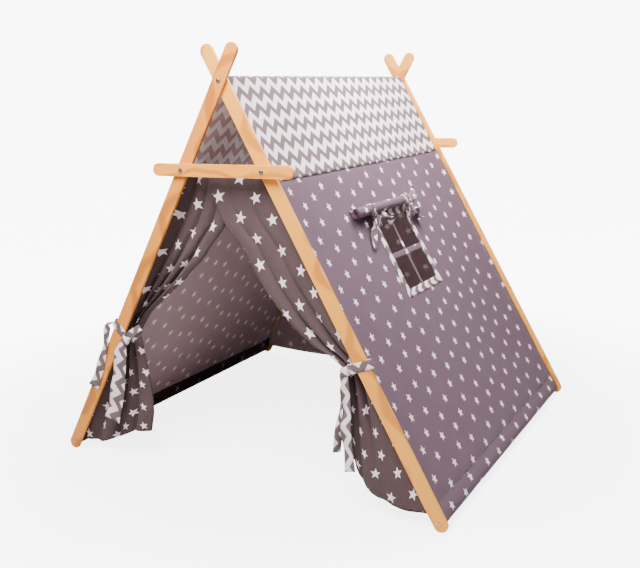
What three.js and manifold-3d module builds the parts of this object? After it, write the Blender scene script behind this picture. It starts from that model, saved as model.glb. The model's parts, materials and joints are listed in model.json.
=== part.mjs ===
// A-frame teepee tent for children: two timber leaves that cross at a ridge pole,
// two crossbars, and a cotton canopy with door curtains and a roll-up window flap.
// Millimetres, +Z up, door facing -Y. Origin on the floor under the middle of the ridge.
import * as THREE from "three";
import { mergeVertices } from "three/addons/utils/BufferGeometryUtils.js";
import Module from "manifold-3d";

const wasm = await Module();
wasm.setup();

// ---- Driving dimensions ----
const GAP = 0.3; // clearance between pieces that touch
const SLAT_WIDTH = 40;
const SLAT_THICKNESS = 10;
const EDGE_ROUND = 1.5; // eased timber edges
const RIDGE_Z = 1160; // height of the crossing axis
const FOOT_X = 628; // half spacing of the rounded feet
const FOOT_Z = 19.6; // centre of the foot's round, so the floor flat is 8 mm wide
const TIP_LENGTH = 89; // slat beyond the crossing, to the centre of its round
const HALF_DEPTH = 595; // ridge axis origin to the inner face of an inner leg
const DOWEL_RADIUS = 11; // ridge pole and bottom rails
const DOWEL_SIDES = 24;
const RAIL_RISE = 6; // rail axis above the foot's round centre, along the leg

const CROSSBAR_Z = 920;
const CROSSBAR_WIDTH = 36;
const CROSSBAR_HALF = 230; // half of the overall length
const PILOT_OFFSET = 25; // spare pilot holes either side of each crossbar bolt
const PILOT_RADIUS = 1.8;
const SPARE_HOLE_Z = 675; // spare pilot hole in the outer legs

const BOLT_RADIUS = 3;
const BOLT_HOLE_RADIUS = 3.3;
const HEAD_RADIUS = 6.5;
const HEAD_HEIGHT = 3.4;
const INSERT_RADIUS = 4.6;
const RIDGE_INSERT_LENGTH = 20;
const SCREW_RADIUS = 2.3;
const SCREW_HEAD_RADIUS = 5;
const SCREW_LENGTH = 40;
const HARDWARE_SIDES = 20;

const CLOTH = 1.6; // thickness of the hemmed cloth
const CLOTH_GAP = 0.5; // cloth to the dowel it wraps
const PANEL_SAG = 25; // how far a side panel hangs inwards at mid height
const PANEL_HALF_Y = 592.5;
const BACK_Y = 584;
const BACK_BOTTOM_Z = 34;
const CURTAIN_Y = -581;
const CURTAIN_DEPTH = 14;

const WINDOW = { y0: -115, y1: 115, s0: 490, s1: 728, bar: 12, rail: 18 };
const ROLL = { y0: -270, y1: 130, s: 455, radius: 17 };
const RIBBON_WIDTH = 24;
const RIBBON = 1.4;

// ---- Worked out from the above ----
const LEAF_ANGLE = Math.atan2(FOOT_X, RIDGE_Z - FOOT_Z);
const SIN = Math.sin(LEAF_ANGLE);
const COS = Math.cos(LEAF_ANGLE);
const LEG_TO_RIDGE = Math.hypot(FOOT_X, RIDGE_Z - FOOT_Z);
const RAIL_S = LEG_TO_RIDGE - RAIL_RISE; // ridge axis to rail axis, down the leaf
const CROSSBAR_BOLT_X = (RIDGE_Z - CROSSBAR_Z) * Math.tan(LEAF_ANGLE);
const CROSSBAR_S = (RIDGE_Z - CROSSBAR_Z) / COS;
const SPARE_S = (RIDGE_Z - SPARE_HOLE_Z) / COS;
const INNER_Y = HALF_DEPTH + GAP; // inner face of an inner leg
const OUTER_Y = INNER_Y + SLAT_THICKNESS + GAP; // inner face of an outer leg
const BAR_Y = OUTER_Y + SLAT_THICKNESS + GAP; // inner face of a crossbar
const CLOTH_RADIUS = DOWEL_RADIUS + CLOTH_GAP + CLOTH / 2; // middle of the cloth on a dowel

// ---- Materials ----
const paint = (color, roughness, metalness = 0) =>
  new THREE.MeshStandardMaterial({ color, roughness, metalness });
const PINE = paint(0xd9a565, 0.55);
const PINE_LIGHT = paint(0xe9bd85, 0.55);
const STEEL = paint(0x8c8a88, 0.35, 1);
const PANEL_CLOTH = paint(0x8d7f8a, 0.95);
const CURTAIN_CLOTH = paint(0x6d6061, 0.95);
const CHEVRON_CLOTH = paint(0xc9bdbf, 0.95);

// ---- Solids ----
function solid(geometry) {
  const bare = geometry.index ? geometry.toNonIndexed() : geometry.clone();
  bare.deleteAttribute("normal");
  bare.deleteAttribute("uv");
  const merged = mergeVertices(bare, 1e-4);
  return new wasm.Manifold(
    new wasm.Mesh({
      numProp: 3,
      vertProperties: merged.attributes.position.array,
      triVerts: new Uint32Array(merged.index.array),
    }),
  );
}

function geometryOf(manifold) {
  const mesh = manifold.getMesh();
  const geometry = new THREE.BufferGeometry();
  geometry.setAttribute("position", new THREE.BufferAttribute(mesh.vertProperties, 3));
  geometry.setIndex(new THREE.BufferAttribute(mesh.triVerts, 1));
  geometry.computeVertexNormals();
  return geometry;
}

function cut(geometry, tools) {
  let body = solid(geometry);
  for (const tool of tools) body = body.subtract(solid(tool));
  return geometryOf(body);
}

function join(geometries) {
  let body = solid(geometries[0]);
  for (const other of geometries.slice(1)) body = body.add(solid(other));
  return geometryOf(body);
}

function mesh(name, geometry, material) {
  const piece = new THREE.Mesh(geometry, material);
  piece.name = name;
  return piece;
}

// A round bar along +Y from y0 to y1 at (x, z).
function rod(radius, y0, y1, x = 0, z = 0, sides = HARDWARE_SIDES) {
  const bar = new THREE.CylinderGeometry(radius, radius, y1 - y0, sides);
  return bar.translate(x, (y0 + y1) / 2, z);
}

// A block from its lowest and highest corners.
function block(x0, x1, y0, y1, z0, z1) {
  const box = new THREE.BoxGeometry(x1 - x0, y1 - y0, z1 - z0);
  return box.translate((x0 + x1) / 2, (y0 + y1) / 2, (z0 + z1) / 2);
}

// An outline in the XZ plane, extruded from y0 to y1, with eased edges where asked.
function plate(outline, y0, y1, ease = 0) {
  const geometry = new THREE.ExtrudeGeometry(new THREE.Shape(outline), {
    depth: y1 - y0 - 2 * ease,
    bevelEnabled: ease > 0,
    bevelThickness: ease,
    bevelSize: ease,
    bevelOffset: -ease,
    bevelSegments: 2,
  });
  geometry.translate(0, 0, ease);
  geometry.rotateX(Math.PI / 2);
  return geometry.translate(0, y1, 0);
}

const v2 = (x, z) => new THREE.Vector2(x, z);

function arc(cx, cz, radius, from, to, steps) {
  const points = [];
  for (let i = 0; i <= steps; i++) {
    const angle = from + ((to - from) * i) / steps;
    points.push(v2(cx + radius * Math.cos(angle), cz + radius * Math.sin(angle)));
  }
  return points;
}

// ---- Timber ----
// Positions on the right leaf are given as s, down the leg from the ridge axis, and n,
// outwards from the leaf's middle plane.
const onLeaf = (s, n) => v2(s * SIN + n * COS, RIDGE_Z - s * COS + n * SIN);

// The leg of the right leaf: foot at +X on the floor, tip at the upper left.
function legOutline() {
  const r = SLAT_WIDTH / 2;
  const flat = Math.acos(FOOT_Z / r);
  const down = -Math.PI / 2;
  const outwards = LEAF_ANGLE;
  const tip = onLeaf(-TIP_LENGTH, 0);
  return [
    ...arc(FOOT_X, FOOT_Z, r, outwards - Math.PI, down - flat, 4),
    ...arc(FOOT_X, FOOT_Z, r, down + flat, outwards, 8),
    ...arc(tip.x, tip.y, r, outwards, outwards + Math.PI, 12),
  ];
}

function leg(name, y0, holes) {
  const y1 = y0 + SLAT_THICKNESS;
  const drills = holes.map(([s, radius]) => {
    const at = onLeaf(s, 0);
    return rod(radius, y0 - 1, y1 + 1, at.x, at.y);
  });
  return mesh(name, cut(plate(legOutline(), y0, y1, EDGE_ROUND), drills), PINE_LIGHT);
}

function bottomRail(name) {
  const at = onLeaf(RAIL_S, 0);
  const y0 = -HALF_DEPTH;
  const y1 = OUTER_Y - GAP;
  const bar = rod(DOWEL_RADIUS, y0, y1, at.x, at.y, DOWEL_SIDES);
  const depth = SCREW_LENGTH - SLAT_THICKNESS;
  const hole = SCREW_RADIUS + GAP;
  return mesh(
    name,
    cut(bar, [rod(hole, y0 - 1, y0 + depth, at.x, at.y), rod(hole, y1 - depth, y1 + 1, at.x, at.y)]),
    PINE,
  );
}

function crossbar(name) {
  const r = CROSSBAR_WIDTH / 2;
  const half = CROSSBAR_HALF - r;
  const outline = [
    ...arc(half, CROSSBAR_Z, r, -Math.PI / 2, Math.PI / 2, 12),
    ...arc(-half, CROSSBAR_Z, r, Math.PI / 2, 1.5 * Math.PI, 12),
  ];
  const y1 = BAR_Y + SLAT_THICKNESS;
  const drills = [];
  for (const x of [-CROSSBAR_BOLT_X, CROSSBAR_BOLT_X]) {
    drills.push(rod(BOLT_HOLE_RADIUS, BAR_Y - 1, y1 + 1, x, CROSSBAR_Z));
    for (const side of [-PILOT_OFFSET, PILOT_OFFSET]) {
      drills.push(rod(PILOT_RADIUS, BAR_Y - 1, y1 + 1, x + side, CROSSBAR_Z, 8));
    }
  }
  return mesh(name, cut(plate(outline, BAR_Y, y1, EDGE_ROUND), drills), PINE);
}

function ridgePole() {
  const bar = rod(DOWEL_RADIUS, -HALF_DEPTH, HALF_DEPTH, 0, RIDGE_Z, DOWEL_SIDES);
  const bore = INSERT_RADIUS + GAP;
  const depth = RIDGE_INSERT_LENGTH + 2 * GAP;
  const drills = [
    rod(bore, -HALF_DEPTH - 1, -HALF_DEPTH + depth, 0, RIDGE_Z),
    rod(bore, HALF_DEPTH - depth, HALF_DEPTH + 1, 0, RIDGE_Z),
  ];
  return mesh("ridge_pole", cut(bar, drills), PINE);
}

// ---- Fasteners, all on an axis parallel to Y with the head at the +Y end ----
// The head is domed with a round socket; its seat is at y and the tip at tipY.
function bolt(name, x, z, seatY, tipY) {
  const length = seatY - tipY;
  const profile = [
    v2(0, -length),
    v2(BOLT_RADIUS - 0.6, -length),
    v2(BOLT_RADIUS, -length + 0.8),
    v2(BOLT_RADIUS, 0),
    v2(HEAD_RADIUS, 0),
    v2(HEAD_RADIUS, 1),
    v2(HEAD_RADIUS * 0.86, HEAD_HEIGHT * 0.72),
    v2(HEAD_RADIUS * 0.55, HEAD_HEIGHT),
    v2(2.2, HEAD_HEIGHT),
    v2(2.2, HEAD_HEIGHT - 2),
    v2(0, HEAD_HEIGHT - 2),
  ];
  const turned = new THREE.LatheGeometry(profile, HARDWARE_SIDES);
  return mesh(name, turned.translate(x, seatY, z), STEEL);
}

function footScrew(name, seatY, direction) {
  const at = onLeaf(RAIL_S, 0);
  const profile = [
    v2(0, -SCREW_LENGTH + 2),
    v2(SCREW_RADIUS, -SCREW_LENGTH + 7),
    v2(SCREW_RADIUS, 0),
    v2(SCREW_HEAD_RADIUS, 0),
    v2(SCREW_HEAD_RADIUS * 0.94, 1.2),
    v2(SCREW_HEAD_RADIUS * 0.6, 2.2),
    v2(1.8, 2.2),
    v2(0, 0.8),
  ];
  const turned = new THREE.LatheGeometry(profile, HARDWARE_SIDES);
  if (direction < 0) turned.rotateX(Math.PI);
  return mesh(name, turned.translate(at.x, seatY, at.y), STEEL);
}

// A threaded insert let into a drilled hole.
function insert(name, x, z, y0, y1) {
  const sleeve = rod(INSERT_RADIUS, y0, y1, x, z);
  return mesh(name, cut(sleeve, [rod(BOLT_HOLE_RADIUS, y0 - 1, y1 + 1, x, z)]), STEEL);
}

// ---- Cloth ----
// Middle line of a side panel: over the ridge pole, down in a shallow sag to the rail,
// round it, and back up inside to the sleeve's stitching.
const sag = (s) => CLOTH_RADIUS - (4 * PANEL_SAG * s * (RAIL_S - s)) / RAIL_S ** 2;

function panelLine() {
  const topAngle = Math.PI / 2 - LEAF_ANGLE; // from the leaf's normal to straight up
  const points = arc(0, 0, CLOTH_RADIUS, Math.PI / 2 + topAngle - 0.06, Math.PI / 2, 5);
  const steps = 12;
  for (let i = 1; i <= steps; i++) {
    const s = (RAIL_S * i) / steps;
    points.push(v2(s, sag(s)));
  }
  points.push(...arc(RAIL_S, 0, CLOTH_RADIUS, Math.PI / 2, (-5 * Math.PI) / 6, 12).slice(1));
  points.push(v2(RAIL_S - 18, 4), v2(RAIL_S - 36, 6.2));
  return points;
}

// Thickens a middle line into a closed outline.
function thicken(line, thickness) {
  const left = [];
  const right = [];
  line.forEach((point, i) => {
    const before = line[Math.max(i - 1, 0)];
    const after = line[Math.min(i + 1, line.length - 1)];
    const along = after.clone().sub(before).normalize();
    const across = v2(-along.y, along.x).multiplyScalar(thickness / 2);
    left.push(point.clone().add(across));
    right.push(point.clone().sub(across));
  });
  return [...left, ...right.reverse()];
}

const leafToWorld = (points) => points.map((p) => onLeaf(p.x, p.y));

function sidePanel(name, openings) {
  const outline = leafToWorld(thicken(panelLine(), CLOTH));
  const sheet = plate(outline, -PANEL_HALF_Y, PANEL_HALF_Y);
  return mesh(name, openings.length ? cut(sheet, openings) : sheet, PANEL_CLOTH);
}

// A block square to the right leaf, for cutting panes and laying flat pieces on it.
function leafBlock(s0, s1, n0, n1, y0, y1) {
  const corners = [v2(s0, n0), v2(s1, n0), v2(s1, n1), v2(s0, n1)];
  return plate(leafToWorld(corners).reverse(), y0, y1);
}

function windowPanes() {
  const { y0, y1, s0, s1, bar, rail } = WINDOW;
  const midY = (y0 + y1) / 2;
  const midS = (s0 + s1) / 2;
  const panes = [];
  for (const [ya, yb] of [[y0, midY - bar / 2], [midY + bar / 2, y1]]) {
    for (const [sa, sb] of [[s0, midS - rail / 2], [midS + rail / 2, s1]]) {
      panes.push(leafBlock(sa, sb, -60, 60, ya, yb));
    }
  }
  return panes;
}

// The inner surface of the right panel, or of the sleeve round its rail, at height z, as an x.
function innerX(z, clearance) {
  let s = (RIDGE_Z - z) / COS;
  for (let i = 0; i < 3; i++) s = (RIDGE_Z - z + sag(s) * SIN) / COS;
  const panel = onLeaf(s, sag(s)).x - (CLOTH / 2 + clearance) / COS;
  const sleeve = onLeaf(RAIL_S, 0).x - CLOTH_RADIUS - CLOTH - clearance;
  return Math.min(panel, sleeve);
}

// The back wall fills the triangle between the side panels.
function backPanel() {
  const clearance = 3;
  const topZ = RIDGE_Z - 34;
  const steps = 8;
  const right = [];
  for (let i = 0; i <= steps; i++) {
    const z = BACK_BOTTOM_Z + ((topZ - BACK_BOTTOM_Z) * i) / steps;
    right.push(v2(innerX(z, clearance), z));
  }
  const left = right.map((p) => v2(-p.x, p.y)).reverse();
  return mesh("back_panel", plate([...right, ...left], BACK_Y, BACK_Y + CLOTH), PANEL_CLOTH);
}

// Door curtains hang from the height of the crossbar and are tied back to the legs.
const CURTAIN_TOP = 912;
const RIGHT_CURTAIN = [
  [-92, CURTAIN_TOP], [-60, 800], [50, 650], [159, 516], [262, 436], [318, 412], [340, 385],
  [352, 260], [358, 110], [384, 61], [430, 38], [500, 30], [572, 34],
];
const LEFT_CURTAIN = [
  [-20, CURTAIN_TOP], [-22, 740], [-96, 654], [-190, 579], [-309, 484], [-362, 420],
  [-372, 385], [-352, 300], [-330, 200], [-330, 90], [-420, 40], [-500, 30], [-572, 34],
];

function curtain(name, edge, side, depthShift) {
  const clearance = 4;
  const steps = 6;
  const legSide = [];
  for (let i = 0; i <= steps; i++) {
    const z = 34 + ((CURTAIN_TOP - 34) * i) / steps;
    if (z > 40) legSide.push(v2(side * innerX(z, clearance), z));
  }
  const outline = [...edge.map(([x, z]) => v2(x, z)), ...legSide];
  if (side < 0) outline.reverse();
  const y = CURTAIN_Y + depthShift;
  return mesh(name, plate(outline, y, y + CURTAIN_DEPTH), CURTAIN_CLOTH);
}

// A ribbon loop round a leg at s, with its knot and two hanging tails.
function curtainTie(name, side, s, legY, tails) {
  const y0 = legY - GAP - RIBBON;
  const y1 = legY + SLAT_THICKNESS + GAP + RIBBON;
  const half = SLAT_WIDTH / 2 + GAP;
  const outer = leafBlock(s, s + RIBBON_WIDTH, -half - RIBBON, half + RIBBON, y0, y1);
  const inner = leafBlock(s - 1, s + RIBBON_WIDTH + 1, -half, half, y0 + RIBBON, y1 - RIBBON);
  const loop = geometryOf(solid(outer).subtract(solid(inner)));
  const knotEdge = onLeaf(s + RIBBON_WIDTH / 2, -half);
  const knot = leafBlock(s + 2, s + RIBBON_WIDTH - 2, -half - 26, -half - RIBBON / 2, y0, y0 + 5);
  const shape = join([loop, knot, ...tails(knotEdge, y0)]);
  if (side < 0) {
    shape.scale(-1, 1, 1);
    const index = shape.index.array;
    for (let i = 0; i < index.length; i += 3) [index[i], index[i + 1]] = [index[i + 1], index[i]];
  }
  return mesh(name, shape, CHEVRON_CLOTH);
}

function rightTails(knot, y0) {
  return [
    block(knot.x - 25, knot.x - 3, y0, y0 + RIBBON, knot.y - 290, knot.y),
    block(knot.x - 50, knot.x - 24, y0 + 2, y0 + 2 + RIBBON, knot.y - 12, knot.y),
    block(knot.x - 50, knot.x - 36, y0 + 2, y0 + 2 + RIBBON, knot.y - 240, knot.y - 10),
  ];
}

function leftTails(knot, y0) {
  const half = SLAT_WIDTH / 2 + GAP;
  const s = (RIDGE_Z - knot.y) / COS;
  return [
    block(knot.x - 27, knot.x - 3, y0, y0 + RIBBON, knot.y - 270, knot.y),
    leafBlock(s - 4, s + 220, half + 0.3, half + 0.3 + RIBBON, y0, y0 + 12),
  ];
}

// The rolled-up window flap lies against the panel above the window.
const ROLL_N = sag(ROLL.s) + CLOTH / 2 + 3 + ROLL.radius;

function windowFlap() {
  const at = onLeaf(ROLL.s, ROLL_N);
  return mesh("window_flap", rod(ROLL.radius, ROLL.y0, ROLL.y1, at.x, at.y, 16), PANEL_CLOTH);
}

// A ribbon round the roll with a knot and two short tails below it.
function windowTie(name, y, lengths) {
  const at = onLeaf(ROLL.s, ROLL_N);
  const r = ROLL.radius + GAP;
  const hoop = solid(rod(r + RIBBON, y - 9, y + 9, at.x, at.y, 16));
  const loop = geometryOf(hoop.subtract(solid(rod(r, y - 10, y + 10, at.x, at.y, 16))));
  const foot = ROLL.s + r + RIBBON / 2;
  const tails = lengths.map((length, i) => {
    const shift = i === 0 ? -20 : 4;
    return leafBlock(foot, foot + length, ROLL_N - 1, ROLL_N + 1, y + shift, y + shift + 16);
  });
  const knot = leafBlock(foot, foot + 10, ROLL_N - 4, ROLL_N + 4, y - 18, y + 18);
  return mesh(name, join([loop, knot, ...tails]), CHEVRON_CLOTH);
}

// ---- Assembly ----
// Each leaf is the same frame turned half a turn about Z: its inner leg is in the layer
// next to the ridge pole, and its outer leg crosses outside the other leaf's inner leg.
function leaf(names, turn) {
  const group = new THREE.Group();
  const inner = names.innerLeg;
  const outer = names.outerLeg;
  const insertHole = INSERT_RADIUS + GAP;
  const screwHole = SCREW_RADIUS + GAP;
  const holes = [[0, BOLT_HOLE_RADIUS + GAP], [CROSSBAR_S, insertHole], [RAIL_S, screwHole]];
  const barZ = CROSSBAR_Z;
  const barX = CROSSBAR_BOLT_X;
  const sleeve = SLAT_THICKNESS - 2 * GAP;
  group.add(
    leg(inner, -INNER_Y - SLAT_THICKNESS, holes),
    leg(outer, OUTER_Y, [...holes, [SPARE_S, PILOT_RADIUS]]),
    bottomRail(names.rail),
    footScrew(`${inner}_foot_screw`, -INNER_Y - SLAT_THICKNESS - GAP, -1),
    footScrew(`${outer}_foot_screw`, OUTER_Y + SLAT_THICKNESS + GAP, 1),
    insert(`${inner}_insert`, barX, barZ, -INNER_Y - GAP - sleeve, -INNER_Y - GAP),
    insert(`${outer}_insert`, barX, barZ, OUTER_Y + GAP, OUTER_Y + GAP + sleeve),
    crossbar(names.crossbar),
    bolt(`${names.crossbar}_pivot_bolt`, barX, barZ, BAR_Y + SLAT_THICKNESS + GAP, OUTER_Y + GAP),
    bolt(`${names.crossbar}_lock_bolt`, -barX, barZ, BAR_Y + SLAT_THICKNESS + GAP, OUTER_Y),
  );
  group.rotation.z = turn;
  return group;
}

function crossing(end, turn) {
  const group = new THREE.Group();
  const depth = HALF_DEPTH - GAP;
  group.add(
    bolt(`${end}_ridge_bolt`, 0, RIDGE_Z, OUTER_Y + SLAT_THICKNESS + GAP, HALF_DEPTH - 18),
    insert(`${end}_ridge_insert`, 0, RIDGE_Z, depth - RIDGE_INSERT_LENGTH, depth),
  );
  group.rotation.z = turn;
  return group;
}

const RIGHT_NAMES = {
  innerLeg: "front_right_leg",
  outerLeg: "back_right_leg",
  rail: "right_bottom_rail",
  crossbar: "back_crossbar",
};
const LEFT_NAMES = {
  innerLeg: "back_left_leg",
  outerLeg: "front_left_leg",
  rail: "left_bottom_rail",
  crossbar: "front_crossbar",
};

function leftSidePanel() {
  const group = new THREE.Group();
  group.add(sidePanel("left_side_panel", []));
  group.rotation.z = Math.PI;
  return group;
}

const tent = new THREE.Group();
tent.add(
  leaf(RIGHT_NAMES, 0),
  leaf(LEFT_NAMES, Math.PI),
  ridgePole(),
  crossing("back", 0),
  crossing("front", Math.PI),
  sidePanel("right_side_panel", windowPanes()),
  leftSidePanel(),
  backPanel(),
  curtain("right_curtain", RIGHT_CURTAIN, 1, 0),
  curtain("left_curtain", LEFT_CURTAIN, -1, CURTAIN_DEPTH + 2),
  curtainTie("right_curtain_tie", 1, 850, -INNER_Y - SLAT_THICKNESS, rightTails),
  curtainTie("left_curtain_tie", -1, 826, -OUTER_Y - SLAT_THICKNESS, leftTails),
  windowFlap(),
  windowTie("window_front_tie", -150, [96, 60]),
  windowTie("window_back_tie", 108, [50, 34]),
);

export default tent;
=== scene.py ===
# A children's A-frame teepee tent: timber frame, printed cotton canopy, tied door curtains,
# and a window with its flap rolled up. Metres, in the CAD frame.
import json
import math
from bisect import bisect

import bmesh
import bpy
from mathutils import Matrix, Vector, noise


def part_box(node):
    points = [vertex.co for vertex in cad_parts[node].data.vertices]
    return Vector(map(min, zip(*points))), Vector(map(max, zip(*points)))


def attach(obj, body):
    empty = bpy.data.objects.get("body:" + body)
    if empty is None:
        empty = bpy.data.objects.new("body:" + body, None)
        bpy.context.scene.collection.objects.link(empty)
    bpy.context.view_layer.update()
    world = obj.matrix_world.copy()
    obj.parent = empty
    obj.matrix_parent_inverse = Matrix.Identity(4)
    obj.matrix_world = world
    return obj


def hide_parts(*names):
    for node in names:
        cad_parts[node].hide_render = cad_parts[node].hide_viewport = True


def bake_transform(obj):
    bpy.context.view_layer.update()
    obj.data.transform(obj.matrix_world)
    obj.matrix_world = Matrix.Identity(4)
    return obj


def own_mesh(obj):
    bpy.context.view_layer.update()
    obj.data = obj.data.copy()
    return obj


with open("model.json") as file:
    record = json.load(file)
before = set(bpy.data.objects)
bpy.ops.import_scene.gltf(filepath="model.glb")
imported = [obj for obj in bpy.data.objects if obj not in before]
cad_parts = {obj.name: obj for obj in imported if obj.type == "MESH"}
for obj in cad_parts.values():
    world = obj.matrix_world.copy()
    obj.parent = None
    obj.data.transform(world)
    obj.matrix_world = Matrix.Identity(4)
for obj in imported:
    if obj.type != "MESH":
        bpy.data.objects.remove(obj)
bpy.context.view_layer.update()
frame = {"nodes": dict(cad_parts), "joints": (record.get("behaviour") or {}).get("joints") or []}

MM = 0.001

# ---- The frame's two leaves ----
FOLD = next(j for j in frame["joints"] if j["name"] == "frame_fold")
RIDGE_Z = FOLD["pos_m"][2]
RAIL_LOW, RAIL_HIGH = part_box("right_bottom_rail")
RAIL_X = (RAIL_LOW.x + RAIL_HIGH.x) / 2
RAIL_Z = (RAIL_LOW.z + RAIL_HIGH.z) / 2
DOWEL_RADIUS = (RAIL_HIGH.z - RAIL_LOW.z) / 2
LEAF_ANGLE = math.atan2(RAIL_X, RIDGE_Z - RAIL_Z)
SIN = math.sin(LEAF_ANGLE)
COS = math.cos(LEAF_ANGLE)
RAIL_S = math.hypot(RAIL_X, RIDGE_Z - RAIL_Z)  # from the ridge axis to the rail's axis
PANEL_HALF_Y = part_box("right_side_panel")[1].y
BACK_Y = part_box("back_panel")[0].y
RIGHT, LEFT = 1, -1
WORD = {RIGHT: "right", LEFT: "left"}
LEAF = {RIGHT: "right_leaf", LEFT: "left_leaf"}
DOWN = {RIGHT: Vector((SIN, 0, -COS)), LEFT: Vector((-SIN, 0, -COS))}  # down each leaf
OUT = {RIGHT: Vector((COS, 0, SIN)), LEFT: Vector((-COS, 0, SIN))}  # square to it, outwards
ALONG_X = Vector((1, 0, 0))
ALONG_Y = Vector((0, 1, 0))
UP = Vector((0, 0, 1))

# ---- The canopy's dimensions ----
CLOTH = 1.2 * MM
CLOTH_RADIUS = DOWEL_RADIUS + 1.3 * MM  # middle of the cloth round a dowel
PANEL_SAG = 25 * MM
SEAM_S = 305 * MM  # where the roof band meets the side cloth
HEM_S = RAIL_S - 42 * MM  # the stitching of the sleeve round the rail
SLEEVE_TURN = math.radians(238)  # how far the sleeve goes round the rail
SLEEVE_RETURN = 34 * MM
SLEEVE_END = RAIL_S + SLEEVE_TURN * CLOTH_RADIUS + SLEEVE_RETURN
HOLD_SHARE = 0.8  # how much of the sag the legs take up at the cloth's front and back edges
HOLD_REACH = 45 * MM
SIDE_STEP = 11 * MM  # between the mesh lines of a side cloth

WINDOW_Y = (-115 * MM, 115 * MM)
WINDOW_S = (490 * MM, 728 * MM)
BAR_WIDTH = 13 * MM
RAIL_WIDTH = 19 * MM
BORDER = 24 * MM

CURTAIN_TOP = 0.912
CURTAIN_LENGTH = 0.90
TIE_Z = 0.392
EDGE_ROLL = 8 * MM
ROLL_START = 0.93  # where along a curtain's rows its free edge begins to roll in


def on_leaf(side, s, n, y):
    """A point s down the leaf from the ridge axis and n outwards from the leaf's middle plane."""
    return Vector((side * (s * SIN + n * COS), y, RIDGE_Z - s * COS + n * SIN))


def ease(t):
    t = min(max(t, 0.0), 1.0)
    return t * t * (3 - 2 * t)


def mix(a, b, t):
    return a + (b - a) * t


def wrinkle(x, y, seed, size):
    """Smooth noise from -1 to 1 on a cloth, with features of about that size."""
    return noise.noise(Vector((x / size, y / size, seed)))


def marks_along(points):
    """How far along a chain of points each of them is."""
    marks = [0.0]
    for a, b in zip(points, points[1:]):
        marks.append(marks[-1] + (Vector(b) - Vector(a)).length)
    return marks


def between(marks, want):
    """The span of rising marks that a value falls in, and its share of the way along it."""
    i = min(max(bisect(marks, want) - 1, 0), len(marks) - 2)
    return i, (want - marks[i]) / max(marks[i + 1] - marks[i], 1e-9)


def smooth_line(points, per_span=12):
    """A function of 0 to 1, by length, along a smooth curve through the points."""
    points = [Vector(p) for p in points]
    ends = [2 * points[0] - points[1], *points, 2 * points[-1] - points[-2]]
    fine = []
    for p0, p1, p2, p3 in zip(ends, ends[1:], ends[2:], ends[3:]):
        for i in range(per_span):
            t = i / per_span
            fine.append(
                0.5 * (2 * p1 + (p2 - p0) * t + (2 * p0 - 5 * p1 + 4 * p2 - p3) * t * t
                       + (3 * p1 - p0 - 3 * p2 + p3) * t ** 3)
            )
    fine.append(points[-1])
    marks = marks_along(fine)

    def at(t):
        i, share = between(marks, min(max(t, 0.0), 1.0) * marks[-1])
        return fine[i].lerp(fine[i + 1], share)

    at.length = marks[-1]
    return at


def stations(marks, step):
    """Values that pass through every mark, in even steps of about step."""
    values = [marks[0]]
    for a, b in zip(marks, marks[1:]):
        count = max(1, round(abs(b - a) / step))
        values += [a + (b - a) * i / count for i in range(1, count + 1)]
    return values


# ---- Colours and materials ----
class Graph:
    """A node tree with short calls for the nodes that these materials use."""

    def __init__(self, tree):
        self.tree = tree

    def node(self, kind, **settings):
        made = self.tree.nodes.new(kind)
        for name, value in settings.items():
            setattr(made, name, value)
        return made

    def feed(self, socket, value):
        if isinstance(value, bpy.types.NodeSocket):
            self.tree.links.new(value, socket)
        else:
            socket.default_value = value

    def math(self, operation, *values):
        made = self.node("ShaderNodeMath", operation=operation)
        for socket, value in zip(made.inputs, values):
            self.feed(socket, value)
        return made.outputs[0]

    def times(self, a, b):
        return self.math("MULTIPLY", a, b)

    def plus(self, a, b):
        return self.math("ADD", a, b)

    def vector(self, operation, *values, out="Vector"):
        made = self.node("ShaderNodeVectorMath", operation=operation)
        for socket, value in zip(made.inputs, values):
            self.feed(socket, value)
        return made.outputs[out]

    def scaled(self, vector, factor):
        made = self.node("ShaderNodeVectorMath", operation="SCALE")
        self.feed(made.inputs[0], vector)
        self.feed(made.inputs["Scale"], factor)
        return made.outputs[0]

    def dot(self, a, b):
        return self.vector("DOT_PRODUCT", a, b, out="Value")

    def ramp(self, value, low, high, to_low, to_high):
        made = self.node("ShaderNodeMapRange", interpolation_type="SMOOTHSTEP")
        for socket, number in zip(made.inputs, (value, low, high, to_low, to_high)):
            self.feed(socket, number)
        return made.outputs[0]

    def noise(self, vector, scale, detail=3.0, roughness=0.55):
        made = self.node("ShaderNodeTexNoise")
        self.feed(made.inputs["Vector"], vector)
        made.inputs["Scale"].default_value = scale
        made.inputs["Detail"].default_value = detail
        made.inputs["Roughness"].default_value = roughness
        return made.outputs["Fac"]

    def blend(self, factor, a, b, kind="MIX"):
        made = self.node("ShaderNodeMix", data_type="RGBA", blend_type=kind)
        self.feed(made.inputs[0], factor)
        self.feed(made.inputs[6], a)
        self.feed(made.inputs[7], b)
        return made.outputs[2]

    def combine(self, x, y, z):
        made = self.node("ShaderNodeCombineXYZ")
        for socket, value in zip(made.inputs, (x, y, z)):
            self.feed(socket, value)
        return made.outputs[0]

    def separate(self, vector):
        made = self.node("ShaderNodeSeparateXYZ")
        self.feed(made.inputs[0], vector)
        return made.outputs

    def bump(self, height, strength, distance):
        made = self.node("ShaderNodeBump")
        made.inputs["Strength"].default_value = strength
        made.inputs["Distance"].default_value = distance
        self.feed(made.inputs["Height"], height)
        return made.outputs[0]


def new_material(name):
    """A material, the graph of its nodes, and its shader."""
    material = bpy.data.materials.new(name)
    material.use_nodes = True
    return material, Graph(material.node_tree), material.node_tree.nodes["Principled BSDF"]


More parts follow.
